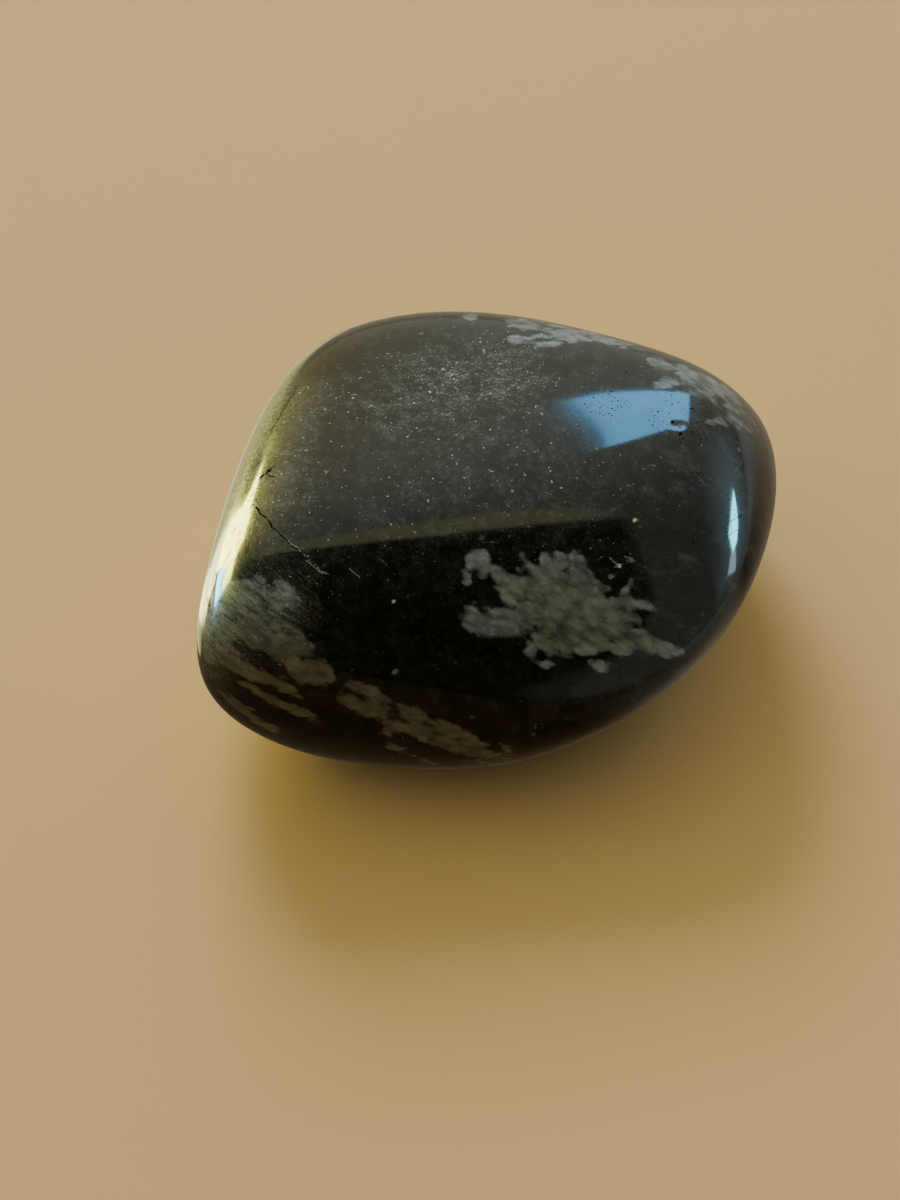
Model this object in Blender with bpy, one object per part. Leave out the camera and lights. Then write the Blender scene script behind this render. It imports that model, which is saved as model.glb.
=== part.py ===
"""Snowflake obsidian: one tumbled and polished piece of volcanic glass.

The stone began as a broken lump.  A tumbling barrel wore each broken side down
to a shallow flat and rounded every edge between two of them, so its surface
follows one rule: a few worn sides, blended by how far the edges have gone.
It is a single solid with nothing inside it, and it lies on its flattest side.
The grey snowflakes are crystals flush with the polish, so they have no relief.

Frame: metres, +Z up, +X along the stone's longest way.  The origin is on the
resting face, straight below the point that the worn sides are measured from.
"""
from math import cos, radians, sin

import bmesh
import bpy
from mathutils import Vector

MM = 0.001

# Driving dimensions, in millimetres and degrees.
CENTRE_HEIGHT = 9.0       # from the resting face up to the rule's centre
EDGE_SHARPNESS = 10       # a low number is a pebble, a high one a fresh break
MESH_DETAIL = 5           # times the starting icosahedron is divided
ONE_POINT = 0.02          # points closer than this are merged

# Each worn side: the way it faces (azimuth from +X towards +Y, elevation above
# the horizontal) and how far it lies from the centre.
WORN_SIDES = [
    # the resting side and the polished top, a little higher at the back left
    (0, -90, 9.2),
    (115, 83, 10.2),
    # the long front, three sides that steepen down to a blunt keel
    (-76, 60, 10.7),
    (-86, 36, 12.2),
    (-95, 2, 14.2),
    # the back, a broad curve from right to left
    (68, 30, 15.8),
    (98, 42, 17.3),
    (122, 32, 19.4),
    (100, -5, 15.0),
    # the left end, tapering forward to a nose
    (150, 20, 18.0),
    (172, 14, 16.8),
    (-164, -8, 21.4),
    (-126, -28, 18.8),
    # the front, below its widest line
    (-92, -38, 14.2),
    (-56, -30, 13.5),
    (-26, -14, 15.8),
    # the right end, with one shoulder in front and one behind
    (4, 4, 20.3),
    (-8, 42, 17.1),
    (30, 24, 21.6),
    # underneath, turning in to the resting side
    (5, -45, 14.5),
    (180, -50, 14.5),
    (100, -48, 13.0),
]

# Finish: near-black glass under a good polish.
GLASS_COLOUR = (0.008, 0.009, 0.006, 1.0)
GLASS_ROUGHNESS = 0.12
GLASS_IOR = 1.49


def facing(azimuth, elevation):
    """The unit vector of a side that faces this way."""
    level = cos(radians(elevation))
    return Vector((
        level * cos(radians(azimuth)),
        level * sin(radians(azimuth)),
        sin(radians(elevation)),
    ))


SIDES = [(facing(azimuth, elevation), distance)
         for azimuth, elevation, distance in WORN_SIDES]


def worn_radius(direction):
    """Distance from the centre to the surface, in millimetres.

    One side alone would put the surface at distance / cos(angle).  Adding the
    sides up with a high power keeps the nearest one and rounds where two meet.
    """
    total = 0.0
    for normal, distance in SIDES:
        share = max(0.0, normal.dot(direction)) / distance
        total += share ** EDGE_SHARPNESS
    return total ** (-1 / EDGE_SHARPNESS)


def stone_mesh():
    """The worn lump, cut off level where it rests."""
    shape = bmesh.new()
    bmesh.ops.create_icosphere(shape, subdivisions=MESH_DETAIL, radius=1.0)
    for vert in shape.verts:
        direction = vert.co.normalized()
        vert.co = direction * worn_radius(direction) * MM
        vert.co.z += CENTRE_HEIGHT * MM

    # The resting side is ground truly flat, so the stone stands without rocking.
    bmesh.ops.bisect_plane(
        shape,
        geom=shape.verts[:] + shape.edges[:] + shape.faces[:],
        dist=ONE_POINT * MM,
        plane_co=(0.0, 0.0, 0.0),
        plane_no=(0.0, 0.0, -1.0),
        clear_outer=True,
    )
    rim = [edge for edge in shape.edges if edge.is_boundary]
    bmesh.ops.contextual_create(shape, geom=rim)
    bmesh.ops.remove_doubles(shape, verts=shape.verts[:], dist=ONE_POINT * MM)
    bmesh.ops.recalc_face_normals(shape, faces=shape.faces[:])

    mesh = bpy.data.meshes.new("stone")
    shape.to_mesh(mesh)
    shape.free()
    mesh.shade_smooth()
    return mesh


def obsidian():
    """Polished black glass."""
    material = bpy.data.materials.new("obsidian")
    material.use_nodes = True
    finish = material.node_tree.nodes["Principled BSDF"].inputs
    finish["Base Color"].default_value = GLASS_COLOUR
    finish["Roughness"].default_value = GLASS_ROUGHNESS
    finish["Metallic"].default_value = 0.0
    finish["IOR"].default_value = GLASS_IOR
    material.diffuse_color = GLASS_COLOUR
    return material


def build():
    for leftover in list(bpy.data.objects):
        bpy.data.objects.remove(leftover)

    mesh = stone_mesh()
    mesh.materials.append(obsidian())
    stone = bpy.data.objects.new("stone", mesh)
    bpy.context.scene.collection.objects.link(stone)

    length, width, height = (side / MM for side in stone.dimensions)
    base = max(mesh.polygons, key=lambda face: face.area)
    print(f"stone: {length:.1f} x {width:.1f} x {height:.1f} mm, "
          f"{len(mesh.polygons)} faces")
    print(f"resting face: {base.area / MM ** 2:.0f} mm2, "
          f"centre {base.center.x / MM:.1f}, {base.center.y / MM:.1f} mm")


build()
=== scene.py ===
# %% [markdown]
# # Snowflake obsidian
# Obsidian is lava that cooled too fast to crystallise: a black natural glass.
# In this one, grey crystals grew afterwards in clusters that look like
# snowflakes.  A tumbling barrel then wore the broken lump smooth and polished
# it.  The solid model gives its true size; this lesson makes the finish.

# %% Load the solid model
from math import cos, pi, radians, sin, tan
from random import Random

import bpy
import numpy as np
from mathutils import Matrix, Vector
from mathutils.bvhtree import BVHTree


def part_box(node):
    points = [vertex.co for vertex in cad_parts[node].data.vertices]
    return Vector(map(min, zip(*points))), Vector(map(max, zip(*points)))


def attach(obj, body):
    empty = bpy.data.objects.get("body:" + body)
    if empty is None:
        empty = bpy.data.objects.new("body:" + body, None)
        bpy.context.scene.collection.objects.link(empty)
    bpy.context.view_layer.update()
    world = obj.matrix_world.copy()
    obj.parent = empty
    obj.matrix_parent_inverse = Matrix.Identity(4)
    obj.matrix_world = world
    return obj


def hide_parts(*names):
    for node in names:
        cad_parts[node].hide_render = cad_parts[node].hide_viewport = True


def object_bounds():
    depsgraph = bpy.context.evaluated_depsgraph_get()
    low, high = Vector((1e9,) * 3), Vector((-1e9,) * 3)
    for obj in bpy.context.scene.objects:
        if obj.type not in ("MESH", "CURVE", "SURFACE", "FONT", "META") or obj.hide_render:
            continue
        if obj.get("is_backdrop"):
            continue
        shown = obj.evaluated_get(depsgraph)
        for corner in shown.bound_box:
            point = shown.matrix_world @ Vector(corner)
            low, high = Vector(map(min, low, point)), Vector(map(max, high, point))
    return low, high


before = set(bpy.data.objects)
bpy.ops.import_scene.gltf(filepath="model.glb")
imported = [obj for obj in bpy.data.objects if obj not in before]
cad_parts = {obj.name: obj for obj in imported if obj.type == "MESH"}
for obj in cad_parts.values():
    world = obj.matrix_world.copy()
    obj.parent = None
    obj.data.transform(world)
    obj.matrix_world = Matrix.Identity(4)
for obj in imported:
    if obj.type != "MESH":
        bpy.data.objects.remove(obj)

MM = 0.001
cad_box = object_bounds()
low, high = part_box("stone")
print("solid stone:", [round((b - a) / MM, 1) for a, b in zip(low, high)], "mm")

# %% [markdown]
# ## A short way to write node trees
# Finishes and shapes are both node trees here.  Placing each node by hand would
# hide the sums, so a socket is wrapped in a class that understands + - * / and
# powers: writing `1 - mask` adds the Math node.  Every other kind of node comes
# from one method that takes its type, its settings and what goes into it.

# %% Sockets that can be used in sums
class Value:
    """An output socket: arithmetic on it adds Math nodes to its tree."""

    def __init__(self, graph, socket):
        self.graph = graph
        self.socket = socket

    def __add__(self, other):
        return self.graph.math("ADD", self, other)

    def __sub__(self, other):
        return self.graph.math("SUBTRACT", self, other)

    def __rsub__(self, other):
        return self.graph.math("SUBTRACT", other, self)

    def __mul__(self, other):
        return self.graph.math("MULTIPLY", self, other)

    def __truediv__(self, other):
        return self.graph.math("DIVIDE", self, other)

    def __rtruediv__(self, other):
        return self.graph.math("DIVIDE", other, self)

    def __pow__(self, other):
        return self.graph.math("POWER", self, other)

    __radd__ = __add__
    __rmul__ = __mul__


# %% A tree that is filled by calls
class Graph:
    """A node tree, for a material, the surroundings or a shape."""

    def __init__(self, tree):
        self.tree = tree

    def node(self, kind, settings=None, inputs=None):
        """A new node.  Settings come first: they decide which sockets it has."""
        node = self.tree.nodes.new(kind)
        for name, setting in (settings or {}).items():
            setattr(node, name, setting)
        for key, given in (inputs or {}).items():
            self.feed(self.socket(node.inputs, key), given)
        return node

    @staticmethod
    def socket(sockets, key):
        """The socket with this place or name, among those that the settings left on."""
        if isinstance(key, int):
            return sockets[key]
        return next(one for one in sockets if one.name == key and one.enabled)

    def feed(self, socket, given):
        """A link where a Value is given, and otherwise a plain setting."""
        if isinstance(given, Value):
            self.tree.links.new(given.socket, socket)
        else:
            socket.default_value = given

    def get(self, node, key=0):
        return Value(self, self.socket(node.outputs, key))

    def value(self, kind, settings=None, inputs=None, output=0):
        return self.get(self.node(kind, settings, inputs), output)

    def math(self, operation, *values):
        return self.value("ShaderNodeMath", {"operation": operation}, dict(enumerate(values)))

    def vector(self, operation, first, second=None, scale=None):
        """A sum on vectors; a length or a dot product comes out as a number."""
        inputs = {0: first}
        if second is not None:
            inputs[1] = second
        if scale is not None:
            inputs["Scale"] = scale
        number = operation in ("DOT_PRODUCT", "LENGTH", "DISTANCE")
        return self.value("ShaderNodeVectorMath", {"operation": operation}, inputs, int(number))

    def smooth(self, value, start, stop):
        """0 at start, 1 at stop, with a soft S between them."""
        return self.value(
            "ShaderNodeMapRange",
            {"interpolation_type": "SMOOTHSTEP"},
            {"Value": value, "From Min": start, "From Max": stop},
        )

    def colour(self, amount, first, second, blend="MIX"):
        """The first colour where amount is 0, and the second where it is 1."""
        return self.value(
            "ShaderNodeMix",
            {"data_type": "RGBA", "blend_type": blend},
            {"Factor": amount, "A": first, "B": second},
            "Result",
        )


def tint(red, green, blue):
    """A colour given as on a screen, 0 to 255, in the linear values that light uses."""
    steps = [channel / 255 for channel in (red, green, blue)]
    return tuple(s / 12.92 if s < 0.04 else ((s + 0.055) / 1.055) ** 2.4 for s in steps) + (1.0,)


def direction(azimuth, elevation):
    """The unit vector that points this way, in degrees."""
    level = cos(radians(elevation))
    return Vector((
        level * cos(radians(azimuth)),
        level * sin(radians(azimuth)),
        sin(radians(elevation)),
    ))


# %% [markdown]
# ## The camera
# It looks down on the long front of the stone from about a hand's width away.
# It is aimed at the stone's middle, and the lens is shifted a little so that
# the stone sits left of and above the centre of the picture.

# %% Set up the camera
EYE_ELEVATION = 52
EYE_DISTANCE = 150 * MM
LENS = 72
SENSOR = 36
PICTURE = (900, 1200)
MIDDLE_PIXEL = (488, 544)
middle = Vector((0, 0, 9.5 * MM))
back = direction(-90, EYE_ELEVATION)
eye = middle + back * EYE_DISTANCE
eye_right = Vector((1, 0, 0))
eye_up = back.cross(eye_right)

lens = bpy.data.cameras.new("camera")
lens.lens = LENS
lens.sensor_fit = "VERTICAL"
lens.sensor_height = SENSOR
lens.shift_x = (PICTURE[0] / 2 - MIDDLE_PIXEL[0]) / PICTURE[1]
lens.shift_y = (MIDDLE_PIXEL[1] - PICTURE[1] / 2) / PICTURE[1]
lens.clip_start = 0.01
camera = bpy.data.objects.new("camera", lens)
camera.location = eye
camera.rotation_euler = back.to_track_quat("Z", "Y").to_euler()
bpy.context.scene.collection.objects.link(camera)
bpy.context.scene.camera = camera
print("camera at", [round(c / MM) for c in eye], "mm")
print("lens shifted", round(lens.shift_x, 3), "right and", round(lens.shift_y, 3), "up")

# %% [markdown]
# ## The floor and the sky
# The stone lies on a plain pale floor under a soft dome of light, brighter
# behind and above.  An image of a real room could light it as well, but a dome
# is a few sums and can be tuned.  It is warmer on the left and has a cool fill
# in front.  The floor is matte: any gloss on it would show the lamps.

# %% Plain pale floor
def plain_material(name, colour, roughness):
    material = bpy.data.materials.new(name)
    material.use_nodes = True
    finish = material.node_tree.nodes["Principled BSDF"].inputs
    finish["Base Color"].default_value = colour
    finish["Roughness"].default_value = roughness
    finish["Specular IOR Level"].default_value = 0.0
    return material


def sheet(name, corners, material):
    """A sheet with these corners in turn, which isn't part of the stone."""
    mesh = bpy.data.meshes.new(name)
    mesh.from_pydata(corners, [], [range(len(corners))])
    mesh.materials.append(material)
    made = bpy.data.objects.new(name, mesh)
    bpy.context.scene.collection.objects.link(made)
    made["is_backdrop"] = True
    return made


FLOOR_REACH = 5.0
FLOOR_DROP = 0.02 * MM
MIRRORED_DROP = 0.03 * MM


def ground(name, material, drop):
    ends = ((-1, -1), (1, -1), (1, 1), (-1, 1))
    return sheet(name, [(x * FLOOR_REACH, y * FLOOR_REACH, -drop) for x, y in ends], material)


floor = ground("floor", plain_material("floor", tint(247, 203, 138), 0.7), FLOOR_DROP)
floor.visible_glossy = False
print("floor", FLOOR_DROP / MM, "mm below the stone")

# %% A soft dome, brighter above and behind
DOME_LEAST = 0.15
DOME_RISE = 0.76
DOME_BRIGHT_WAY = (-0.25, 0.75, 0.60)
FRONT_FILL = 0.14
FRONT_WAY = (-0.26, -0.97, 0)
LEFT_SKY, RIGHT_SKY, FRONT_SKY = tint(255, 240, 168), tint(250, 253, 232), tint(205, 228, 255)

world = bpy.data.worlds.new("dome")
world.use_nodes = True
bpy.context.scene.world = world
dome = Graph(world.node_tree)
ray = dome.value("ShaderNodeTexCoord", output="Generated")
brightness = dome.vector("DOT_PRODUCT", ray, DOME_BRIGHT_WAY)
rightness = dome.smooth(dome.vector("DOT_PRODUCT", ray, (1, 0, 0)), -0.40, 0.05)
in_front = dome.smooth(dome.vector("DOT_PRODUCT", ray, FRONT_WAY), 0.55, 0.85)
sky = dome.colour(in_front, dome.colour(rightness, LEFT_SKY, RIGHT_SKY), FRONT_SKY)
glow = DOME_LEAST + DOME_RISE * dome.math("MAXIMUM", brightness, 0.0) + FRONT_FILL * in_front
background = world.node_tree.nodes["Background"].inputs
dome.feed(background["Color"], sky)
dome.feed(background["Strength"], glow)
print("dome from", DOME_LEAST, "to", DOME_LEAST + DOME_RISE)

# %% [markdown]
# ## What the polish mirrors
# Black glass has hardly any colour of its own, so it shows its surroundings: a
# polished stone is lit by giving it something to mirror.  Glowing panels stand
# for a window with its reveal, a lamp at each end, a strip overhead and a pale
# wall, and a black card in front keeps the near slope dark.  Each is set by the
# directions of its corners, as seen from the stone, because its mirror image
# depends on nothing else.  Spheres or real lamps would give round highlights,
# and these are long and cornered.

# %% A panel, and the light that it gives
PANEL_DISTANCE = 0.6
GLOW_DISTANCE = 0.9
HALFWAY = (PANEL_DISTANCE + GLOW_DISTANCE) / 2


def glowing(name, colour, strength, centred=None, reach=0.0):
    """An even light, or one that fades out around the direction that it is centred on."""
    material = bpy.data.materials.new(name)
    material.use_nodes = True
    tree = material.node_tree
    tree.nodes.clear()
    graph = Graph(tree)
    light = graph.value("ShaderNodeEmission", inputs={"Color": colour, "Strength": strength})
    if centred:
        place = tuple(middle + direction(*centred) * GLOW_DISTANCE)
        away = graph.vector("DISTANCE", graph.value("ShaderNodeTexCoord", output="Object"), place)
        share = graph.smooth(away, GLOW_DISTANCE * tan(radians(reach)), 0.0)
        clear = graph.value("ShaderNodeBsdfTransparent")
        light = graph.value("ShaderNodeMixShader", inputs={0: share, 1: clear, 2: light})
    graph.node("ShaderNodeOutputMaterial", inputs={"Surface": light})
    return material


def mirrored_only(made):
    """Only the polish sees this, so it lights neither the floor nor the crystals."""
    made.visible_camera = False
    made.visible_diffuse = False
    return made


def panel(name, corners, material, distance=PANEL_DISTANCE):
    """A sheet whose corners lie in these directions (azimuth, elevation) from the stone."""
    return mirrored_only(
        sheet(name, [middle + direction(*corner) * distance for corner in corners], material)
    )


# %% The window and the lamps
BLUE, WARM_WHITE, COLD_WHITE = tint(120, 200, 255), tint(254, 253, 122), tint(118, 234, 255)
panel("window", [(90.4, 39.5), (70, 67), (49.5, 48), (63.5, 30.5)],
      glowing("window light", BLUE, 10.0))
panel("window reveal", [(62, 29), (47, 47), (41, 44), (59, 24)],
      glowing("reveal light", tint(205, 228, 240), 1.1))
panel("left lamp",
      [(131, 17), (135, 16), (138.5, -1), (164, -1), (168, 12), (182, 30), (190, 24),
       (200, 24), (205, 38), (196, 44), (184, 47), (159, 52), (137, 42), (128, 27)],
      glowing("left light", WARM_WHITE, 60.0))
panel("left lamp back", [(124, 16.5), (128, 17), (131, 17), (128, 27), (126, 24), (124.5, 21)],
      glowing("left back light", WARM_WHITE, 50.0))
panel("left lamp end",
      [(168, 12), (172, 6), (190, 2), (194, 6), (200, 24), (190, 24), (182, 30)],
      glowing("left end light", tint(164, 236, 250), 44.0))
panel("right lamp", [(13, 21), (6, 26), (-4, 29), (-6, 19), (0, 16), (6, 17)],
      glowing("right light", COLD_WHITE, 40.0))
panel("right lamp foot", [(-3, 16), (-9, 22), (-14, 16), (-6, 4)],
      glowing("right foot light", tint(190, 224, 236), 7.0))
panel("right glow", [(-30, 0), (-30, 56), (34, 56), (34, 0)],
      glowing("right soft light", tint(196, 226, 240), 2.1, (3, 22), 31), GLOW_DISTANCE)

# %% The strip, the wall, the card and a beam
panel("overhead strip", [(-150, 63), (-150, 77), (-40, 79), (-42, 66)],
      glowing("overhead light", tint(255, 248, 196), 0.82))
panel("side wall", [(-90, -2), (-89, 12), (-83, 27), (-72, 38), (-44, 62), (-18, 50), (-22, -2)],
      glowing("side light", (0.26, 0.29, 0.23, 1), 1.0), GLOW_DISTANCE)
panel("side wall edge",
      [(-90, -2), (-89, 12), (-83, 27), (-60, 49), (-57, 46), (-70, 29), (-76, 20),
       (-79, 8), (-79, -2)],
      glowing("side edge light", (0.145, 0.14, 0.10, 1), 1.0), HALFWAY)
panel("black card",
      [(-150, -4), (-150, 62), (-42, 65), (-61, 43), (-72, 31), (-80, 21), (-84, 9), (-85, -4)],
      plain_material("black card", (0.045, 0.045, 0.032, 1), 1.0))
# The beam is the other way round: it lights what is matte, and the polish doesn't see it.
beam = panel("beam from behind", [(92, 30), (92, 52), (124, 52), (124, 30)],
             glowing("beam light", tint(228, 240, 255), 12.0))
beam.visible_glossy = False
beam.visible_diffuse = True
print("panels from", PANEL_DISTANCE, "to", GLOW_DISTANCE, "m away")

# %% [markdown]
# The lower slopes mirror the floor, mostly close by, where the stone shades it.
# What they mirror is brighter than the matte floor, because a lacquered table
# throws the window and the lamps back.  So the polish gets a floor of its own,
# just below the plain one: brown in front, where the stone shades it, and pale
# behind and to the right.  Sheets that lie on it are the glare of the left lamp.

# %% What the stone mirrors of the floor
SHADE_NEAR, SHADE_FAR = (0.044, 0.024, 0.006, 1), (0.098, 0.056, 0.016, 1)
LIT_NEAR, LIT_FAR = (0.48, 0.42, 0.29, 1), (0.52, 0.56, 0.54, 1)
BESIDE_SHARE = 0.85
BEFORE_SHARE = 0.5
ground_material = glowing("mirrored floor light", (1, 1, 1, 1), 1.0)
ground_graph = Graph(ground_material.node_tree)
ground_place = ground_graph.value("ShaderNodeTexCoord", output="Object")


def across_ground(right, behind, start, stop):
    """0 to 1 along the floor, by so much to the right and so much behind, in millimetres."""
    along = ground_graph.vector("DOT_PRODUCT", ground_place, (right / MM, behind / MM, 0))
    return ground_graph.smooth(along, start, stop)


beside = ground_graph.math(
    "MAXIMUM", across_ground(1, 0, 4, 20) * across_ground(0, 1, 6, -12), across_ground(1, 0, 60, 130)
)
lit_right = across_ground(1, 0.8, -30, 30) * beside * BESIDE_SHARE
lit_front = across_ground(1, 0.15, 0, 40) * across_ground(0, -1, 30, 70) * BEFORE_SHARE
pale = ground_graph.math("MAXIMUM", across_ground(0, 1, -30, 70), lit_right)
pale = ground_graph.math("MAXIMUM", pale, lit_front)
shaded_colour = ground_graph.colour(across_ground(0, -1, 18, 34), SHADE_NEAR, SHADE_FAR)
lit_colour = ground_graph.colour(across_ground(1, 0, 20, 120), LIT_NEAR, LIT_FAR)
ground_graph.feed(
    ground_material.node_tree.nodes["Emission"].inputs["Color"],
    ground_graph.colour(pale, shaded_colour, lit_colour),
)
mirrored_only(ground("mirrored floor", ground_material, MIRRORED_DROP))

# %% The left lamp's glare on the floor
# Each outline is given by azimuth and distance in millimetres from below the left end.
BELOW_LEFT_END = (-16, -8)
GLARE = [
    (156, 10), (140, 9), (105, 10), (88, 16), (88, 50), (105, 80), (118, 240), (156, 240), (160, 60),
]
NEAR_STREAK = [(118, 11.5), (143, 14), (163, 23), (150, 34), (136, 30), (120, 16)]
FAR_STREAK = [
    (150, 34), (163, 23), (164, 45), (168, 300), (167, 900), (134, 900), (135, 70), (136, 30),
]
END_HAZE = [(163, 60), (178, 110), (180, 900), (168, 900)]


def lying(name, outline, strength, lift):
    """A bright sheet on the floor, which casts no shadow on the plain floor below it."""
    start = Vector((*BELOW_LEFT_END, lift))
    corners = [(start + direction(azimuth, 0) * away) * MM for azimuth, away in outline]
    made = mirrored_only(sheet(name, corners, glowing(name + " light", tint(255, 248, 172), strength)))
    made.visible_shadow = False
    return made


lying("glare", GLARE, 1.2, 0.0)
lying("near streak", NEAR_STREAK, 8.0, 0.2)
lying("far streak", FAR_STREAK, 20.0, 0.2)
lying("end haze", END_HAZE, 6.0, 0.1)
print("glare reaches", max(away for _, away in FAR_STREAK), "mm")

# %% [markdown]
# ## The stone's shape
# A tumbled stone's surface follows a rule, and the solid was made with it: each
# worn side is a plane at its own distance, and a high power of their sum keeps
# the nearest plane and rounds the edge between two.  Sculpting would do too, but
# a rule keeps every side smooth.  It is written here as a Geometry Nodes tree on
# a much finer mesh, with what was too small for the solid: faint hollows under
# the polish and the chips where an edge was knocked.  A few sides stand up to a
# third of a millimetre further in or out than in the solid.

# %% The worn sides: azimuth, elevation, distance in millimetres
WORN_SIDES = [
    # the resting side and the polished top, a little higher at the back left
    (0, -90, 9.2), (115, 83, 10.35),
    # the long front, three sides that steepen down to a blunt keel
    (-76, 60, 10.7), (-86, 36, 12.2), (-95, 2, 14.3),
    # the back, a broad curve from right to left
    (68, 30, 15.5), (98, 42, 17.5), (122, 32, 19.5), (100, -5, 15.2),
    # the left end, tapering forward to a nose
    (150, 20, 18.0), (172, 14, 16.8), (-164, -8, 21.5), (-126, -28, 19.0),
    # the front, below its widest line
    (-92, -38, 14.2), (-56, -30, 13.5), (-26, -14, 15.8),
    # the right end, with one shoulder in front and one behind
    (4, 4, 20.3), (-8, 42, 17.1), (30, 24, 21.6),
    # underneath, turning in to the resting side
    (5, -45, 14.5), (180, -50, 14.5), (100, -48, 13.0),
]
STONE_SIZES = {
    "Centre height": 9.0,
    "Edge sharpness": 10.0,
    "Hollow depth": 0.05,
    "Hollow spacing": 7.0,
}
# Chips: azimuth, elevation, width and depth in millimetres.
CHIPS = [
    (7.7, 41.1, 0.9, 0.05),
    (-150.0, -22.0, 1.1, 0.12),
    (60.0, -30.0, 1.4, 0.14),
    (140.0, -12.0, 1.2, 0.10),
]
GRID = 121


# %% Build the shape tree
def stone_tree(material):
    tree = bpy.data.node_groups.new("worn stone", "GeometryNodeTree")
    for name, size in STONE_SIZES.items():
        socket = tree.interface.new_socket(name, in_out="INPUT", socket_type="NodeSocketFloat")
        socket.default_value = size
    tree.interface.new_socket("Stone", in_out="OUTPUT", socket_type="NodeSocketGeometry")
    g = Graph(tree)
    given = g.node("NodeGroupInput")
    centre_height, sharpness, depth, spacing = (g.get(given, name) for name in STONE_SIZES)

    # A cube of fine grids becomes an even ball by the tangent of each coordinate.
    cube = g.value("GeometryNodeMeshCube", inputs={"Size": (2, 2, 2), 1: GRID, 2: GRID, 3: GRID})
    on_cube = g.value("GeometryNodeInputPosition")
    on_ball = g.vector("NORMALIZE", g.vector("TANGENT", g.vector("SCALE", on_cube, scale=pi / 4)))

    nearest = 0
    for azimuth, elevation, distance in WORN_SIDES:
        facing = tuple(direction(azimuth, elevation) / distance)
        share = g.math("MAXIMUM", g.vector("DOT_PRODUCT", on_ball, facing), 0.0)
        nearest = share ** sharpness + nearest
    radius = nearest ** (-1 / sharpness)

    noise = g.value(
        "ShaderNodeTexNoise",
        inputs={"Vector": g.vector("SCALE", on_ball, scale=radius), "Scale": 1 / spacing, "Detail": 1.0},
    )
    radius = radius + (noise - 0.5) * depth
    for azimuth, elevation, width, chip_depth in CHIPS:
        away = g.vector("DISTANCE", on_ball, tuple(direction(azimuth, elevation))) * radius
        radius = radius - chip_depth * g.smooth(away, width / 2, 0.0)

    worn = g.vector("SCALE", on_ball, scale=radius)
    lifted = g.vector("ADD", worn, g.value("ShaderNodeCombineXYZ", inputs={"Z": centre_height}))
    level = g.vector("MAXIMUM", lifted, (-1000, -1000, 0))
    metres = g.vector("SCALE", level, scale=MM)

    placed = g.value("GeometryNodeSetPosition", inputs={"Geometry": cube, "Position": metres})
    polished = g.value("GeometryNodeSetShadeSmooth", inputs={"Geometry": placed, "Shade Smooth": True})
    whole = g.value("GeometryNodeRealizeInstances", inputs={"Geometry": polished})
    finished = g.value("GeometryNodeSetMaterial", inputs={"Geometry": whole, "Material": material})
    g.node("NodeGroupOutput", inputs={"Stone": finished})
    return tree


def grown(name, tree, sizes):
    """Runs a shape tree with these sizes, and keeps the result as a plain mesh."""
    made = bpy.data.objects.new(name, bpy.data.meshes.new(name))
    bpy.context.scene.collection.objects.link(made)
    modifier = made.modifiers.new("shape", "NODES")
    modifier.node_group = tree
    for socket in tree.interface.items_tree:
        if socket.in_out == "INPUT":
            modifier[socket.identifier] = sizes[socket.name]
    whole = made.evaluated_get(bpy.context.evaluated_depsgraph_get())
    made_mesh = bpy.data.meshes.new_from_object(whole)
    made.modifiers.remove(modifier)
    made.data = made_mesh
    return made


obsidian = bpy.data.materials.new("obsidian")
obsidian.use_nodes = True
stone = grown("polished_stone", stone_tree(obsidian), STONE_SIZES)
points = np.empty(len(stone.data.vertices) * 3, dtype=np.float32)
stone.data.vertices.foreach_get("co", points)
points = points.reshape(-1, 3) / MM
print("stone mesh:", len(points), "points, size", (points.max(0) - points.min(0)).round(2), "mm")

# %% [markdown]
# ## Where the snowflakes are
# A snowflake is a cluster of small crystal fingers that grew through the glass,
# most of them along the direction in which the lava flowed.  Each finger is an
# egg shape in the stone, and the polished surface cuts through it.  A finger is
# given by where its middle is seen (millimetres right and up of the stone's
# middle, from the camera), its half length, half width, and how far its long
# way turns down to the right, in degrees.

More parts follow.
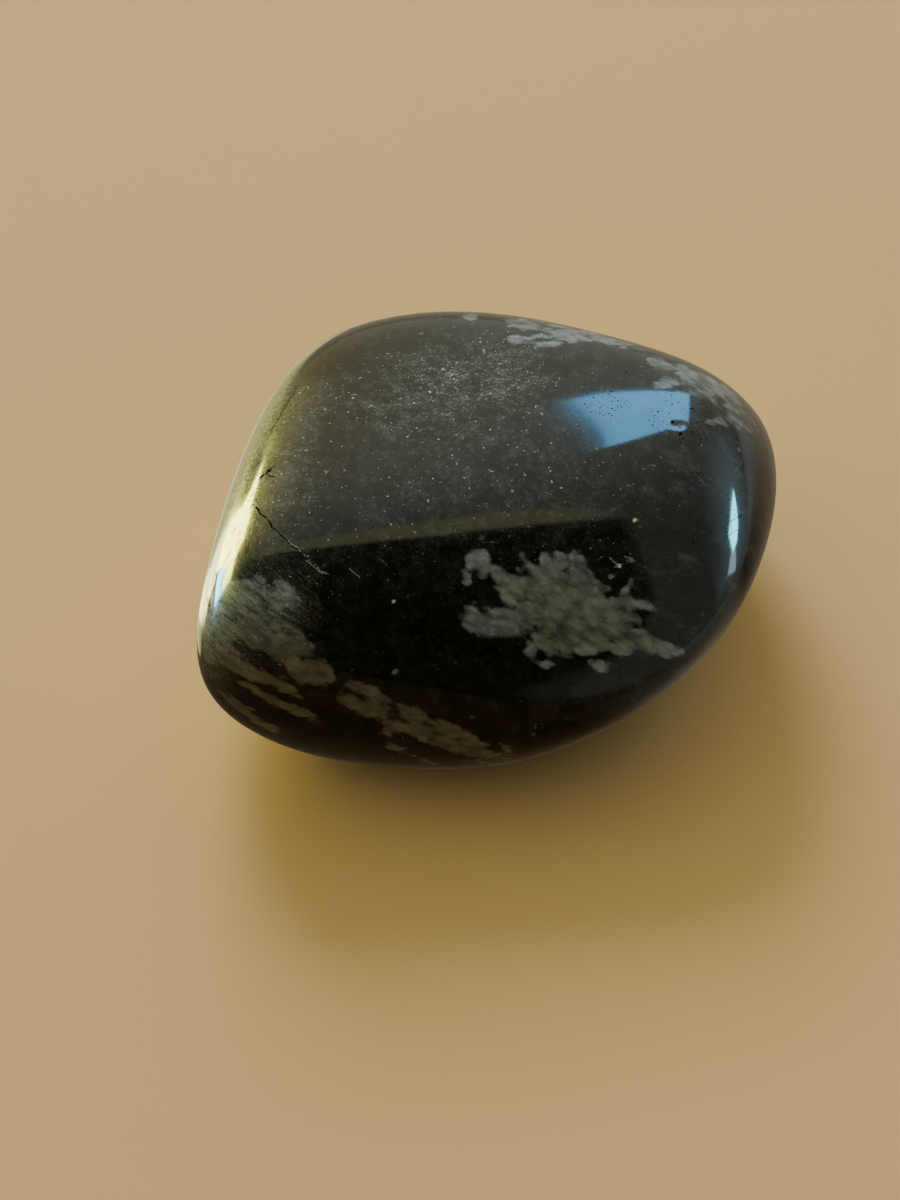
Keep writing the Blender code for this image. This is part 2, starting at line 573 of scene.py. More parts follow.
# %% Snowflakes on the top and the front
SNOWFLAKES = {
    "middle": (0.35, [
        (-0.6, -0.95, 0.78, 0.62, 0), (-1.3, -1.85, 0.32, 0.36, 0), (-0.3, -1.75, 0.36, 0.38, 0),
        (-1.3, -2.35, 0.2, 0.2, 0), (0.55, -1.85, 0.8, 0.33, 32), (1.5, -2.3, 0.7, 0.4, 20),
        (2.55, -1.35, 0.75, 0.33, 45), (3.6, -1.05, 0.45, 0.5, 0), (4.5, -1.0, 0.5, 0.48, 0),
        (5.45, -0.95, 0.5, 0.42, 0), (3.9, -1.95, 1.2, 0.4, 15), (5.8, -1.8, 0.9, 0.5, 30),
        (4.9, -2.4, 1.6, 0.5, 20), (1.5, -3.0, 0.95, 0.6, 15), (3.2, -2.9, 1.7, 0.8, 25),
        (1.4, -3.65, 0.6, 0.3, 20), (5.0, -3.6, 2.2, 1.1, 25), (6.3, -2.5, 0.85, 0.55, 30),
        (7.0, -3.9, 1.2, 0.55, 20), (9.0, -3.7, 1.2, 0.33, 10), (10.0, -3.95, 0.5, 0.22, 20),
        (8.4, -4.5, 1.1, 0.33, 8), (8.6, -2.85, 0.6, 0.3, -50), (7.5, -2.75, 0.2, 0.2, 0),
        (-0.9, -4.2, 0.6, 0.33, 40), (-0.3, -5.0, 1.4, 0.6, 12), (1.2, -4.5, 1.2, 0.55, 15),
        (1.0, -5.4, 1.5, 0.5, 5), (3.2, -4.5, 1.5, 0.7, 25), (5.5, -5.4, 2.0, 1.0, 22),
        (3.5, -6.1, 0.7, 0.5, 45), (2.75, -6.7, 0.55, 0.4, 70), (3.6, -7.5, 0.4, 0.28, 20),
        (4.5, -6.5, 0.9, 0.5, 10), (6.2, -6.5, 1.0, 0.45, -5), (4.9, -6.2, 0.8, 0.55, 0),
        (8.1, -6.5, 0.9, 0.4, 25), (8.8, -5.8, 1.6, 0.6, 20), (10.5, -6.4, 1.3, 0.5, 20),
        (11.7, -6.75, 0.8, 0.22, 12), (7.1, -7.6, 0.75, 0.33, 15), (9.8, -5.55, 0.35, 0.2, 30),
        (7.6, -5.2, 1.3, 0.6, 15),
    ]),
    "left": (0.5, [
        (-14.3, -2.2, 0.3, 0.3, 0), (-12.8, -3.2, 0.9, 0.8, 20), (-12.15, -3.6, 0.35, 0.55, 0),
        (-13.8, -3.1, 0.7, 0.4, 25), (-15.5, -3.2, 1.2, 1.0, 0), (-14.9, -4.3, 1.6, 0.6, 25),
        (-13.7, -5.0, 2.1, 0.85, 36), (-14.6, -5.9, 1.9, 0.6, 32), (-13.0, -6.6, 1.4, 0.5, 35),
        (-12.0, -6.1, 1.4, 0.6, 38), (-12.3, -7.5, 1.3, 0.45, 35), (-10.8, -7.95, 1.1, 0.8, 25),
        (-10.0, -8.3, 0.4, 0.55, 0), (-11.7, -8.3, 0.9, 0.4, 20), (-16.9, -5.2, 1.1, 1.5, 0),
        (-16.4, -7.0, 1.2, 0.6, 30), (-15.1, -7.95, 1.7, 0.5, 28), (-12.9, -8.8, 1.5, 0.3, 28),
        (-14.6, -9.1, 1.3, 0.25, 28), (-12.8, -10.1, 1.4, 0.3, 28), (-11.4, -10.6, 1.1, 0.25, 24),
        (-15.5, -10.2, 1.6, 0.4, 38), (-13.8, -11.4, 1.1, 0.3, 25), (-17.5, -6.6, 0.4, 1.1, 0),
    ]),
    "lower": (0.9, [
        (-7.45, -9.25, 1.4, 0.45, 26), (-8.6, -9.95, 1.1, 0.4, 30), (-7.3, -10.4, 1.5, 0.45, 20),
        (-4.6, -10.7, 1.1, 0.5, 20), (-5.6, -11.4, 1.2, 0.42, 28), (-4.2, -11.8, 1.3, 0.5, 25),
        (-2.2, -11.7, 1.2, 0.5, 28), (-1.0, -12.3, 1.1, 0.35, 25), (-2.1, -12.6, 1.8, 0.55, 20),
        (0.2, -13.2, 1.4, 0.35, 12), (1.1, -12.8, 0.5, 0.25, 45), (-5.7, -12.8, 0.8, 0.28, 30),
        (-6.3, -11.8, 0.4, 0.25, 30), (-3.8, -13.6, 0.8, 0.2, 22), (-0.9, -13.6, 0.8, 0.2, 0),
    ]),
    "top edge": (0.1, [
        (-1.1, 14.2, 0.5, 0.3, 0), (1.9, 13.95, 0.8, 0.25, -5), (2.6, 13.6, 1.1, 0.3, -5),
        (4.2, 13.65, 0.9, 0.25, 5), (5.0, 13.2, 1.4, 0.45, -8), (1.8, 12.8, 0.7, 0.3, 0),
        (2.9, 12.95, 0.6, 0.2, -15), (3.8, 12.5, 0.8, 0.3, -12), (5.6, 12.9, 0.9, 0.4, 0),
        (6.4, 13.2, 1.0, 0.3, 12), (7.2, 12.85, 1.0, 0.3, 12), (8.4, 12.45, 0.9, 0.2, 15),
    ]),
    "right": (0.2, [
        (10.7, 11.3, 0.8, 0.45, 20), (11.3, 10.1, 1.0, 0.35, -10), (12.6, 10.5, 0.9, 0.5, 20),
        (12.2, 11.0, 0.5, 0.4, 0), (13.7, 10.1, 1.2, 0.6, 30), (12.7, 9.4, 0.8, 0.2, 5),
        (14.3, 9.7, 0.9, 0.45, 15), (13.7, 9.25, 0.7, 0.25, 20), (15.2, 9.4, 1.0, 0.3, 40),
        (15.2, 8.6, 0.5, 0.3, 20),
    ]),
    "lace": (1.1, [
        (14.9, 8.2, 0.4, 0.08, 0), (14.6, 7.9, 0.5, 0.07, -20), (15.3, 7.9, 0.5, 0.08, 30),
        (15.7, 7.5, 0.5, 0.07, 15), (16.2, 7.2, 0.7, 0.09, 38), (16.1, 8.1, 0.5, 0.07, 45),
        (14.3, 7.6, 0.4, 0.06, 0), (15.0, 7.45, 0.5, 0.06, 10), (16.6, 7.6, 0.4, 0.07, 50),
        (15.7, 8.4, 0.4, 0.08, 50),
    ]),
}

# %% Turn the places that are seen into fingers in the stone
FINGER_DEPTH = 1.4
surface = BVHTree.FromPolygons(
    [Vector(point) * MM for point in points.tolist()],
    [list(face.vertices) for face in stone.data.polygons],
)
FLOW_TURN = 25
flow = eye_right * cos(radians(FLOW_TURN)) - eye_up * sin(radians(FLOW_TURN))
fingers = []


def seen(right, up):
    """The point of the stone that the camera sees at this place, or None beside the stone."""
    target = middle + (eye_right * right + eye_up * up) * MM
    return surface.ray_cast(eye, (target - eye).normalized())[0]


for name, (warmth, cluster) in SNOWFLAKES.items():
    dice = Random(name)
    for right, up, length, width, turn in cluster:
        place = seen(right, up)
        angle = radians(turn)
        along = eye_right * cos(angle) - eye_up * sin(angle)
        across = back.cross(along)
        half = (length, width, FINGER_DEPTH * max(length, width))
        fingers.append((place / MM, (along, across, back), half, warmth, dice.random()))
print(len(fingers), "fingers on the top and the front")

# %% [markdown]
# The sides that face away have snowflakes too.  They grow by a rule: arms leave
# a middle in all directions but reach furthest along the flow, and each is a
# row of fingers that shrink and stray.

# %% Snowflakes that grow by rule on the other sides
# Azimuth and elevation of each middle from the stone's centre, reach in millimetres, warmth.
HIDDEN_SNOWFLAKES = [
    (48, 8, 4.2, 0.3),
    (84, -14, 3.2, 0.6),
    (116, 10, 5.0, 0.4),
    (150, -16, 3.6, 0.5),
    (12, -22, 4.0, 0.7),
    (-28, -34, 3.0, 0.8),
    (-110, -48, 3.4, 0.7),
    (170, -46, 3.0, 0.5),
    (60, -58, 4.4, 0.6),
]
ARMS = 9
ARM_SWING = 0.3
SIDE_SHARE = 0.6
STRAY = 0.25
TAPER = 0.6
HIDDEN_LENGTH, HIDDEN_WIDTH, HIDDEN_DEPTH = 1.3, 0.65, 0.9
centre = Vector((0, 0, STONE_SIZES["Centre height"] * MM))
dice = Random(7)
for azimuth, elevation, reach, warmth in HIDDEN_SNOWFLAKES:
    outward = direction(azimuth, elevation)
    start, normal = surface.ray_cast(centre + outward * 0.1, -outward)[:2]
    side = normal.cross(flow).normalized()
    lengthwise = side.cross(normal)
    for arm in range(ARMS):
        angle = 2 * pi * (arm + dice.uniform(-ARM_SWING, ARM_SWING)) / ARMS
        heading = lengthwise * cos(angle) + side * sin(angle) * SIDE_SHARE
        steps = dice.randint(3, 5)
        for step in range(steps):
            travelled = reach * (step + 0.3) / steps
            stray = Vector((dice.gauss(0, 1), dice.gauss(0, 1), dice.gauss(0, 1))) * STRAY
            place = surface.find_nearest(start + (heading * travelled + stray) * MM)[0]
            shrink = 1 - TAPER * step / steps
            along = (heading + stray * 0.5).normalized()
            across = normal.cross(along).normalized()
            length = HIDDEN_LENGTH * shrink * dice.uniform(0.8, 1.2)
            width = HIDDEN_WIDTH * shrink * dice.uniform(0.7, 1.3)
            half = (length, width, HIDDEN_DEPTH)
            axes = (along, across, along.cross(across))
            fingers.append((place / MM, axes, half, warmth, dice.random()))
print(len(fingers), "fingers with the hidden sides")

# %% [markdown]
# Each point of the mesh now gets numbers that the finish reads: how deep it is
# inside the nearest finger, how crowded the fingers are around it, and their
# warmth and shade, mixed so that they change softly.  They could be summed in
# the finish instead, but four numbers per point are quicker than 436 fingers
# per pixel.

# %% Store growth, warmth and shade on the mesh
BLEND = 0.1
HEART_BLEND = 0.8
FAR_OUTSIDE = -4
weight = np.zeros(len(points))
crowd = np.zeros(len(points))
warmth_sum = np.zeros(len(points))
shade_sum = np.zeros(len(points))
for place, axes, half, warmth, shade in fingers:
    local = (points - np.array(place)) @ np.array(axes).T / np.array(half)
    inside = (1 - np.linalg.norm(local, axis=1)) * half[1]
    share = np.exp(np.maximum(inside, FAR_OUTSIDE) / BLEND)
    weight += share
    crowd += np.exp(np.maximum(inside, FAR_OUTSIDE) / HEART_BLEND)
    warmth_sum += share * warmth
    shade_sum += share * shade
growth = np.log(weight) * BLEND


def store(name, numbers):
    layer = stone.data.attributes.new(name, "FLOAT", "POINT")
    layer.data.foreach_set("value", numbers.astype(np.float32))
    print(name, "from", round(float(numbers.min()), 2), "to", round(float(numbers.max()), 2))


store("growth", growth)
store("heart", np.log(crowd) * HEART_BLEND)
store("warmth", warmth_sum / weight)
store("shade", shade_sum / weight)
print("crystal covers", round(100 * float((growth > 0).mean())), "% of the mesh points")

# %% [markdown]
# ## Where it is worn, where glow is painted and where dust lies
# The ridge at the left end took the knocks in the barrel.  It is frosted with
# tiny bruises, rubbed bright along its crest and scuffed where it meets the
# front, and the right rim is a little frosted too.  Beside the crest the frost
# also holds a painted glow: a pale olive colour beside the lamp's highlight.
# Fine dust and scratches gather on the broad top, and pits at its right end.
# They could be painted with a brush.  Here each is a line or a few places, which
# is easy to change, and it is stored as a share from 0 to 1 that fades with
# distance.

# %% Shares that fade with distance
def fade(places, reach):
    """1 near any of these places, fading to 0 over the reach, in millimetres."""
    share = np.zeros(len(points))
    for place in places:
        away = np.linalg.norm(points - np.array(place / MM), axis=1)
        share = np.maximum(share, np.exp(-(away / reach) ** 2))
    return share


def trail(stops, steps=6):
    """Points of the stone along straight runs between places that are seen."""
    runs = []
    for (right_a, up_a), (right_b, up_b) in zip(stops, stops[1:]):
        for step in range(steps):
            part = step / steps
            place = seen(right_a + (right_b - right_a) * part, up_a + (up_b - up_a) * part)
            if place is not None:
                runs.append(place)
    return runs


def strongest(lines):
    """The largest share over lines given as (stops, reach in millimetres, share)."""
    return np.max([share * fade(trail(stops), reach) for stops, reach, share in lines], axis=0)


# %% Store scuff, ridge, and frost with painted glow on the mesh
LEFT_SCUFF = [(-13.0, -3.7), (-14.6, -3.4), (-15.8, -3.7), (-16.7, -6.4)]
LEFT_RIM = [
    (-12.6, 10.4), (-13.5, 8.6), (-14.5, 6.5), (-15.2, 4.6), (-15.9, 2.75), (-16.5, 0.9),
    (-17.1, -1.0), (-17.5, -2.9), (-17.6, -4.75), (-17.5, -6.5), (-17.2, -8.2),
]
# Beside the bright ridge the frost is also a painted glow of the lamp's highlight.
GLOW_BESIDE_RIDGE = [(-11.6, 9.4), (-12.6, 6.8), (-13.2, 4.2), (-13.9, 1.8), (-14.8, -0.2)]
BRIGHT_RIDGE = [
    (-13.9, 5.4), (-14.6, 2.8), (-15.6, 0.9), (-16.2, -0.6), (-17.0, -2.4), (-17.7, -3.9),
]
RIGHT_RIM = [(12.0, 10.6), (14.6, 9.2), (16.6, 6.6)]
RUBBED_OFF = 0.7
ridge_share = fade(trail(BRIGHT_RIDGE), 0.7)
knocked = strongest([(LEFT_RIM, 1.5, 0.9), (BRIGHT_RIDGE, 2.1, 0.7), (LEFT_SCUFF, 1.6, 0.85)])
# Frost with painted glow beside the ridge, and frost on the right rim.
frost_and_glow_beside = strongest([(GLOW_BESIDE_RIDGE, 1.9, 0.6), (RIGHT_RIM, 1.4, 0.5)])
store("scuff", fade(trail(LEFT_SCUFF), 1.6))
store("ridge", ridge_share)
store("frost_and_glow", np.maximum(knocked * (1 - RUBBED_OFF * ridge_share), frost_and_glow_beside))

# %% Store pitting and dust on the mesh
PITTED = [(11.6, 7.6), (12.7, 7.2), (7.2, 8.9), (12.2, 8.6)]
DUST_PATCH = [(-2.4, 10.4), (0.7, 10.8)]
DUST_BAND = [
    (-13.0, -3.0), (-13.5, -5.0), (-11.0, 9.0), (-6.0, 8.0), (3.0, 5.0), (-6.0, 2.5),
    (2.0, 2.5), (6.0, 3.0),
]
TOP_STARTS, TOP_RISE = 15.0, 3.5
upward = np.clip((points[:, 2] - TOP_STARTS) / TOP_RISE, 0, 1)
dust_patch = fade([seen(*place) for place in DUST_PATCH], 3.6)
dust_band = fade(trail(DUST_BAND), 2.6)
store("pitting", fade([seen(*place) for place in PITTED], 1.5))
store("dust", np.clip(0.06 * upward + 0.52 * dust_patch + 0.21 * dust_band, 0, 1))

# %% [markdown]
# ## The finish
# The glass is nearly black with a good but not perfect polish, and dust, pits
# and old cracks make it a found stone and not a marble.  An image could be
# wrapped around it, but it would stretch at the ends.  So every pattern is mixed
# from noise and cells that run through the stone, measured in millimetres, and
# each layer is a mask that mixes its own colour over the layers below.

# %% Patterns that the finish is mixed from
g = Graph(obsidian.node_tree)
where = g.vector("SCALE", g.value("ShaderNodeTexCoord", output="Object"), scale=1 / MM)


def attribute(name):
    return g.value("ShaderNodeAttribute", {"attribute_name": name}, output="Fac")


def noise(vector, scale, detail=2.0, rough=0.5):
    return g.value(
        "ShaderNodeTexNoise",
        inputs={"Vector": vector, "Scale": scale, "Detail": detail, "Roughness": rough},
    )


def cells(vector, scale):
    return g.node("ShaderNodeTexVoronoi", inputs={"Vector": vector, "Scale": scale})


def spots(scale, smallest, largest, share=1.0):
    """Round spots strewn at random, each with its own size in millimetres.

    Scale is how many cells fit in a millimetre, and share how many hold a spot.
    """
    strewn = cells(where, scale)
    draw = g.node("ShaderNodeSeparateColor", inputs={"Color": g.get(strewn, "Color")})
    size = smallest + (largest - smallest) * g.get(draw, "Red") ** 2
    kept = g.math("LESS_THAN", g.get(draw, "Green"), share)
    return g.smooth(g.get(strewn, "Distance") / scale, size, size * 0.4) * kept


def drawn_out(turn, stretch):
    """Coordinates that draw a pattern out along a heading, in degrees down to the right."""
    along = eye_right * cos(radians(turn)) - eye_up * sin(radians(turn))
    return g.value("ShaderNodeCombineXYZ", inputs={
        "X": g.vector("DOT_PRODUCT", where, tuple(along / stretch)),
        "Y": g.vector("DOT_PRODUCT", where, tuple(back.cross(along))),
        "Z": g.vector("DOT_PRODUCT", where, tuple(back)),
    })


def most(*masks):
    """The largest of several masks."""
    largest = masks[0]
    for mask in masks[1:]:
        largest = g.math("MAXIMUM", largest, mask)
    return largest


def tell(layer):
    print(f"{layer}: {len(obsidian.node_tree.nodes)} nodes so far")


# %% [markdown]
# The crystals are grey needles in tufts.  A patch is where the stored growth
# passes zero, and cells and noise give it a lobed and ragged edge.  Its tips are
# bluish and its thick hearts greyer, and fibres run along the flow.  The low ones
# are darker and olive, a painted shade with warm light from the floor.  Modelled
# needles would be too many and too small to see.

# %% Crystals: lobed edges, fibres, bluish tips, olive hearts and painted shade low down
TIP, HEART = tint(145, 159, 168), tint(141, 148, 138)
SHADED_LOW_OLIVE, BETWEEN = tint(110, 109, 82), tint(66, 69, 64)
flowing = drawn_out(FLOW_TURN, 1.8)
strayed = g.get(
    g.node("ShaderNodeTexNoise", inputs={"Vector": where, "Scale": 1.2, "Detail": 2.0}), "Color"
)
warped = g.vector("ADD", flowing, g.vector("SCALE", strayed, scale=0.6))
puffs = g.value(
    "ShaderNodeTexVoronoi",
    {"feature": "SMOOTH_F1"},
    {"Vector": warped, "Scale": 2.1, "Smoothness": 0.8},
)
buds = g.get(cells(warped, 2.0), "Distance")
growth_here = attribute("growth") + (0.40 - buds) * 0.34
ragged = growth_here + (noise(flowing, 3.2, 4.0, 0.65) - 0.5) * 0.30
crystal = g.smooth(ragged, -0.12, 0.13)
lowness = g.vector("DOT_PRODUCT", where, (0.25, 0, 1))
crowded = attribute("heart") + (noise(where, 0.5) - 0.5) * 0.5
heart = g.smooth(crowded + (attribute("warmth") - 0.35) * 0.8, 1.4, 2.0)
tone = g.colour(heart * (1 - 0.6 * attribute("scuff")), TIP, HEART)
# Lower down the crystals turn darker and olive: painted shade with warm light from the floor.
tone = g.colour(g.smooth(lowness + (noise(where, 0.6) - 0.5) * 4, 14.5, 9.0), tone, SHADED_LOW_OLIVE)
fibres = noise(drawn_out(FLOW_TURN + 8, 3.6), 4.6, 3.0, 0.6)
fibre_depth = 0.36 + attribute("frost_and_glow") * 2.2 + attribute("warmth") * 0.5
light = 0.78 + (fibres - 0.5) * fibre_depth
light = light + (0.28 - puffs) * 0.9 + (noise(warped, 3.0, 5.0, 0.75) - 0.5) * 0.8
light = light + (attribute("shade") - 0.5) * 0.3
flake = g.colour(g.smooth(light, 0.0, 1.3), BETWEEN, tone)
tell("crystals")

# %% [markdown]
# Between the crystals the glass isn't even.  It has a faint haze and a powder of
# dust in clumps on the top, grey seeds of crystals that stayed small, and wisps
# of them towards the right end.

# %% Glass with haze, dust and small grey seeds
GLASS_DARK, GLASS_LIGHT = (0.0026, 0.0028, 0.0020, 1), (0.0095, 0.0095, 0.0070, 1)
HAZE, SEED = tint(92, 94, 86), tint(84, 90, 84)
WARM_DUST, COOL_DUST = tint(98, 88, 76), tint(92, 106, 102)
dust = attribute("dust")
patchy = g.smooth(noise(where, 0.7, 4.0, 0.6), 0.38, 0.62)
clumped = g.smooth(noise(where, 2.2, 2.0), 0.42, 0.62)
grain = noise(where, 6.0, 4.0, 0.8)
mottled = g.smooth(noise(where, 1.1, 4.0, 0.65), 0.50, 0.68)
glass = g.colour(g.smooth(noise(where, 0.7, 3.0), 0.3, 0.7), GLASS_DARK, GLASS_LIGHT)
powder = g.smooth(grain, 0.38, 0.70) * (0.02 + dust * (0.06 + patchy * 0.7 + clumped * 0.8))
hazed = g.colour(mottled * (0.05 + dust * 0.60), glass, HAZE)
hazed = g.colour(powder, hazed, g.colour(patchy, WARM_DUST, COOL_DUST))
small_seeds = spots(1.1, 0.03, 0.24, 0.55) * 0.42
soft_seeds = g.smooth(noise(where, 1.7, 3.0, 0.6), 0.52, 0.78) * 0.16
rightward = g.smooth(g.vector("DOT_PRODUCT", where, (1, 0, 0)), 6.0, 11.0)
wisps = g.smooth(noise(warped, 0.9, 5.0, 0.7), 0.50, 0.74) * (0.08 + 0.52 * rightward)
seeded = g.colour(most(most(small_seeds, soft_seeds), wisps), hazed, SEED)
body = g.colour(crystal, seeded, flake)
tell("glass")

# %% [markdown]
# Over both lie short scratches in a few headings, pale specks in three sizes and
# black pits.  A speck stays bright where the polish around it mirrors nothing,
# so it is matte, as the last cell shows.

# %% Scratches, specks and pits
SCRATCH, SPECK, PIT = tint(184, 190, 184), tint(222, 230, 226), (0.006, 0.006, 0.005, 1)
DASH_TURNS = (-58, -35, 22, 75)
dashes = most(*(
    g.smooth(noise(drawn_out(turn, 5.0), 7.0, 1.0), 0.65, 0.73) for turn in DASH_TURNS
))
scratches = dashes * g.smooth(dust, 0.2, 0.9) * patchy
scratched = g.colour(scratches, body, SCRATCH)
fine_share = 0.02 + dust * (0.1 + patchy * 0.35)
fine = g.smooth(noise(where, 8.0, 2.0, 0.6), 0.54, 0.74) * clumped * fine_share
coarse = g.smooth(noise(where, 3.6, 3.0, 0.7), 0.662, 0.702) * (0.03 + dust * 3.4)
round_specks = spots(1.4, 0.01, 0.12, 0.45) * (0.10 + dust * 1.2)
specks = g.math("MINIMUM", most(fine, coarse, round_specks), 1.0)
dusty = g.colour(specks, scratched, SPECK)
strewn_pits = spots(1.9, 0.02, 0.11, 0.35) * 0.8
crowded_pits = spots(5.5, 0.03, 0.09, 0.8) * g.smooth(attribute("pitting"), 0.1, 0.6)
pits = most(strewn_pits, crowded_pits)
pitted = g.colour(pits, dusty, PIT)
tell("scratches, specks and pits")

# %% [markdown]
# The left end was knocked most.  Its frost is a film of bruises too small to
# see one by one, drawn out along the ridge, with larger bruises and grooves in
# it.  Its pale olive colour is partly painted glow beside the ridge highlight.
# The scuff below is hatched across, with pale grains and dark scrapes.

# %% Frost with painted glow, and scuff
RIDGE_TURN = 109
SCUFF_TURN = FLOW_TURN + 12
# The frost's pale olive is partly painted glow of the warm lamp beside the ridge.
FROST_AND_WARM_GLOW, BLUE_FROST, BRUISE = tint(122, 123, 102), tint(134, 151, 152), tint(158, 158, 140)
HATCH, GRAIN, SCRAPE = tint(150, 160, 150), tint(196, 204, 196), (0.01, 0.01, 0.008, 1)
scuff = attribute("scuff")
streaks = noise(drawn_out(RIDGE_TURN, 9.0), 6.0, 3.0, 0.7)
frost_and_glow = g.smooth(attribute("frost_and_glow") + (noise(where, 1.3, 3.0) - 0.5) * 0.25, 0.0, 1.0)
textured_frost_and_glow = frost_and_glow * g.smooth(streaks * 0.5 + grain * 0.5, 0.15, 0.75)
bruises = g.smooth(noise(where, 8.0, 3.0, 0.8), 0.60, 0.72) * frost_and_glow * 0.5
ridge_noise = noise(drawn_out(RIDGE_TURN, 12.0), 5.0, 2.0, 0.6)
grooves = g.smooth(ridge_noise, 0.52, 0.64) * attribute("ridge")
hatch = g.smooth(noise(drawn_out(SCUFF_TURN, 7.0), 5.0, 2.0, 0.6), 0.50, 0.66) * scuff
grains = g.smooth(noise(where, 5.0, 3.0, 0.8), 0.60, 0.68) * scuff
scrapes = g.smooth(noise(drawn_out(SCUFF_TURN, 5.0), 4.0, 3.0, 0.7), 0.50, 0.34) * scuff
# Frost colour: real frosting, and painted glow beside the ridge highlight.
frosted_with_glow = g.colour(textured_frost_and_glow * (0.5 - 0.2 * crystal), pitted, g.colour(scuff, FROST_AND_WARM_GLOW, BLUE_FROST))
frosted_with_glow = g.colour(hatch * 0.5, frosted_with_glow, HATCH)
frosted_with_glow = g.colour(grains, frosted_with_glow, GRAIN)
frosted_with_glow = g.colour(scrapes * 0.7, frosted_with_glow, SCRAPE)
frosted_with_glow = g.colour(bruises, frosted_with_glow, BRUISE)
tell("frost and scuff")

# %% [markdown]
# Some marks can't be left to chance, because each has a place of its own: single
# specks and pits, two old cracks at the left with one that healed beside them,
# the broken spot at the end of the window's reflection and hairlines at the
# right.  A crack is a plane through the stone, so it follows the surface as a
# real one does, and a drawn line wouldn't.

# %% Marks that have a place of their own
PALE, BLUISH = tint(205, 206, 194), tint(96, 108, 116)
DIM, GREYISH = tint(74, 80, 80), tint(122, 122, 118)
BLACK, HEALED, GLINT = (0.002, 0.002, 0.002, 1), tint(168, 170, 156), tint(138, 156, 168)
# Spots: right, up, radius in millimetres, colour.
MARKS = [
    (-5.9, -3.6, 0.17, PALE), (-5.8, -8.0, 0.26, BLUISH), (-0.4, 0.4, 0.22, DIM),
    (9.2, 1.5, 0.20, PALE), (9.5, 1.1, 0.14, DIM), (8.2, -1.35, 0.14, PALE),
    (8.9, -1.0, 0.24, BLUISH), (7.7, -2.0, 0.20, BLUISH), (15.7, 5.9, 0.18, GREYISH),
    (11.55, 7.65, 0.16, BLACK), (12.0, 7.35, 0.17, GREYISH), (13.1, 7.6, 0.11, BLACK),
    (12.05, 6.9, 0.16, BLACK),
]
marked = frosted_with_glow
marks = []
for right, up, radius, colour in MARKS:
    away = g.vector("DISTANCE", where, tuple(seen(right, up) / MM))
    torn = away + (noise(where, 4.0) - 0.5) * radius * 1.6
    marks.append(g.smooth(torn, radius, radius * 0.4))
    marked = g.colour(marks[-1], marked, colour)
tell("marks")


# %% Cracks
def crack(start, stop, width, stray=0.4):
    """A break between two seen places: where a plane through the stone meets its surface."""
    first, last = (seen(*place) / MM for place in (start, stop))
    run = last - first
    plane = run.cross(back).normalized()
    offset = g.vector("DOT_PRODUCT", where, tuple(plane)) - plane.dot(first)
    wander = (noise(where, 1.6, 3.0) - 0.5) * stray
    inside = g.vector("DISTANCE", where, tuple((first + last) / 2))
    line = g.smooth(g.math("ABSOLUTE", offset + wander), width, width * 0.4)
    return line * g.smooth(inside, run.length * 0.52, run.length * 0.46)


def gaps(scale, start, stop):
    """Noise that interrupts a crack."""
    return g.smooth(noise(where, scale), start, stop)


open_breaks = most(
    crack((-15.0, 2.8), (-11.6, -0.7), 0.07, 0.5) * gaps(6.0, 0.36, 0.48),
    crack((-14.3, 4.1), (-13.8, 4.45), 0.07),
    crack((-13.9, 4.4), (-13.3, 4.95), 0.05),
    crack((-13.9, 4.4), (-13.3, 4.15), 0.045),
    crack((-11.9, 9.9), (-13.6, 7.0), 0.05, 0.1) * 0.7,
    crack((14.9, 1.3), (15.9, 1.85), 0.035, 0.2) * 0.8,
    crack((14.9, 0.45), (15.7, 0.95), 0.03, 0.2) * 0.7,
    crack((15.4, 2.6), (15.1, 0.2), 0.025, 0.3) * gaps(5.0, 0.40, 0.52) * 0.7,
)
healed = most(
    crack((-13.2, 0.9), (-10.0, -2.0), 0.06, 0.5) * gaps(4.5, 0.46, 0.54),
    crack((-11.4, -1.0), (-10.3, -1.9), 0.03, 0.05),
    crack((-8.7, -1.5), (-8.0, -2.1), 0.03, 0.05),
)
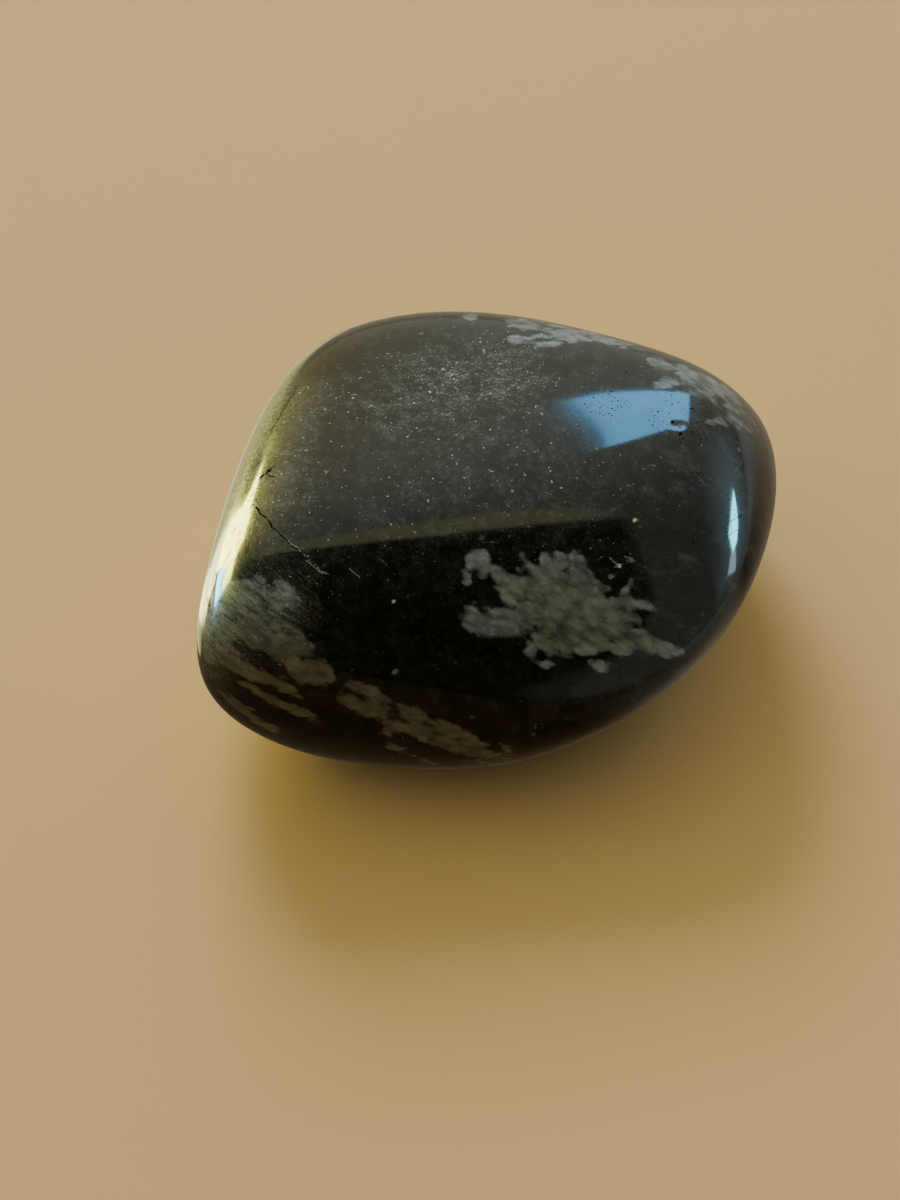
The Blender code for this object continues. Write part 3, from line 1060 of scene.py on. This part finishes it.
glints = most(
    crack((7.56, -0.81), (8.38, -1.56), 0.055, 0.1),
    crack((7.9, -1.45), (8.5, -1.2), 0.04, 0.1),
    crack((8.5, -0.75), (9.2, -1.06), 0.05, 0.2) * 0.6,
    crack((7.5, -2.31), (8.0, -1.88), 0.05, 0.1) * 0.5,
    crack((15.4, 4.5), (15.9, 5.3), 0.05) * 0.35,
    crack((12.9, 4.4), (14.2, 3.2), 0.05) * 0.25,
    crack((-6.8, -0.9), (-6.3, -1.4), 0.04) * 0.5,
) * gaps(6.0, 0.36, 0.56)
broken = g.colour(healed * 0.9, marked, HEALED)
broken = g.colour(glints, broken, GLINT)
broken = g.colour(open_breaks, broken, BLACK)
tell("cracks")

# %% [markdown]
# Two shaders carry all this: the polish, and the matte of whatever breaks it.
# One shader with a varying roughness could do, but black glass would still
# mirror in the middle of a pit, and a pale speck would lose its colour.

# %% Connect the finish
GLASS_IOR = 1.49
COAT_ROUGHNESS = 0.05
MATTE_ROUGHNESS = 0.9
polish = obsidian.node_tree.nodes["Principled BSDF"]
g.feed(polish.inputs["Base Color"], broken)
g.feed(polish.inputs["Roughness"], 0.05 + 0.09 * grain + crystal * 0.05 + textured_frost_and_glow * 0.29)
g.feed(polish.inputs["Coat Weight"], 0.30 - frost_and_glow * 0.22 + attribute("ridge") * 0.8)
polish.inputs["IOR"].default_value = GLASS_IOR
polish.inputs["Coat IOR"].default_value = GLASS_IOR
polish.inputs["Coat Roughness"].default_value = COAT_ROUGHNESS
matte = g.node("ShaderNodeBsdfPrincipled", inputs={
    "Base Color": broken, "Roughness": MATTE_ROUGHNESS, "Specular IOR Level": 0.0,
})
breaks = most(
    pits, specks * 0.8, scratches * 0.7, bruises, grooves * 0.6, grains * 0.7, open_breaks,
    glints * 0.7, *marks,
)
finished = g.value("ShaderNodeMixShader", inputs={0: breaks, 1: g.get(polish), 2: g.get(matte)})
g.feed(obsidian.node_tree.nodes["Material Output"].inputs["Surface"], finished)
tell("the whole finish")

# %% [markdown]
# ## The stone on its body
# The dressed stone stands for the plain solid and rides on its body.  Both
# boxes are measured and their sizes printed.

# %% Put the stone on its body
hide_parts("stone")
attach(stone, "root")
sizes = {
    "cad": [list(corner) for corner in cad_box],
    "visual": [list(corner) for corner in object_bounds()],
}
for which, (lowest, highest) in sizes.items():
    print(which, [round((b - a) / MM, 2) for a, b in zip(lowest, highest)], "mm")
